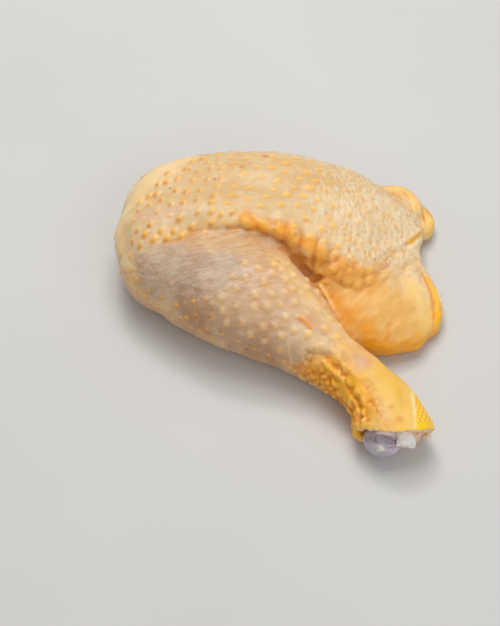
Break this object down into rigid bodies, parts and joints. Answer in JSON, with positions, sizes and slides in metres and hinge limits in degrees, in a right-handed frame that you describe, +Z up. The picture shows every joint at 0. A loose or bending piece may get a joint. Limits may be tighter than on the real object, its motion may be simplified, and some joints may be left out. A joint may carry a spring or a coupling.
{
  "type": "raw chicken leg",
  "caption": "Raw chicken leg, thigh and drumstick in one piece with bumpy yellow skin, folded at the knee and lying flat, with the shin bone and gristle showing at the cut hock.",
  "frame": {"origin": "middle of the footprint, on the surface that the leg rests on", "axes": "+Z up out of the resting surface; -X towards the bent knee; +Y towards the thigh; the cut hock faces -Y"},
  "size_m": [0.1426, 0.1482, 0.0454],
  "materials": {
    "skin": "raw poultry skin, pale yellow to orange, wet and slightly glossy",
    "cartilage": "wet lilac-white cartilage over bone",
    "gristle": "wet cream-white tendon"
  },
  "bodies": {
    "root": {"leg": "skin", "shin_bone": "cartilage", "tendon": "gristle"}
  },
  "joints": []
}
